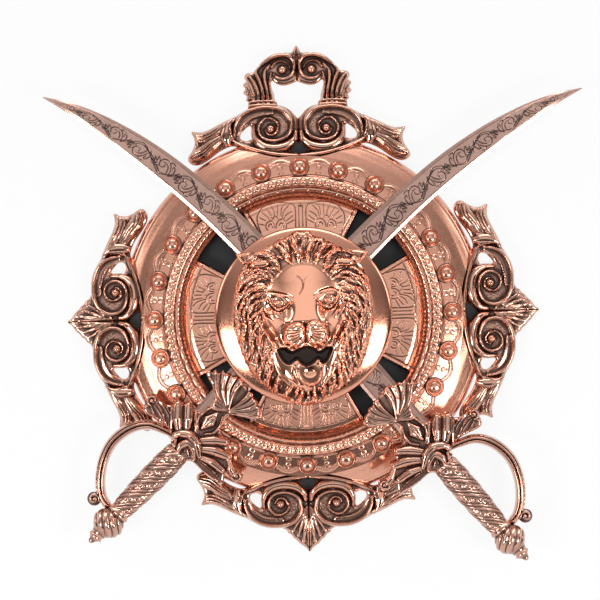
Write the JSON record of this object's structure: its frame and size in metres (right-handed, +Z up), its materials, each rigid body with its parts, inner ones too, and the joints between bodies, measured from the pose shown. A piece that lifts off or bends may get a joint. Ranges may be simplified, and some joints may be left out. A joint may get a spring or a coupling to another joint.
{
  "type": "shield wall plaque",
  "caption": "Round dhal shield wall plaque with a lion mask boss, crossed sabres, scroll mounts, domed rim studs, pierced windows and a hanging loop.",
  "frame": {"origin": "centre of the backing disc's back face, on the wall plane", "axes": "+X to the viewer's right, +Y into the wall, +Z up"},
  "size_m": [0.5367, 0.0927, 0.5212],
  "materials": {
    "copper_casting": "copper plated casting, antiqued dark in the recesses and rubbed bright on the crests",
    "copper_blade": "thin dull copper plate over an engraved blade",
    "black_paint": "satin black",
    "zinc_steel": "zinc plated steel"
  },
  "bodies": {
    "root": {"backing_disc": "black_paint", "shield_dish": "copper_casting", "rim_studs": "copper_casting", "scroll_mount_top": "copper_casting", "scroll_mount_left": "copper_casting", "scroll_mount_bottom": "copper_casting", "scroll_mount_right": "copper_casting", "hanging_loop": "copper_casting", "lion_boss": "copper_casting", "lion_mask": "copper_casting", "left_sword_blade": "copper_blade", "left_sword_guard": "copper_casting", "left_sword_knuckle_bow": "copper_casting", "left_sword_grip": "copper_casting", "left_sword_pommel": "copper_casting", "left_sword_pommel_nut": "copper_casting", "right_sword_blade": "copper_blade", "right_sword_guard": "copper_casting", "right_sword_knuckle_bow": "copper_casting", "right_sword_grip": "copper_casting", "right_sword_pommel": "copper_casting", "right_sword_pommel_nut": "copper_casting", "centre_stud": "zinc_steel", "centre_washer": "zinc_steel", "centre_nut": "zinc_steel", "blade_spacer": "zinc_steel", "boss_spacer": "zinc_steel", "mask_screws": "zinc_steel", "dish_standoffs": "zinc_steel", "backing_screws": "zinc_steel", "mount_screws": "zinc_steel", "hilt_posts": "zinc_steel", "hilt_screws": "zinc_steel", "loop_screws": "zinc_steel"}
  },
  "joints": []
}
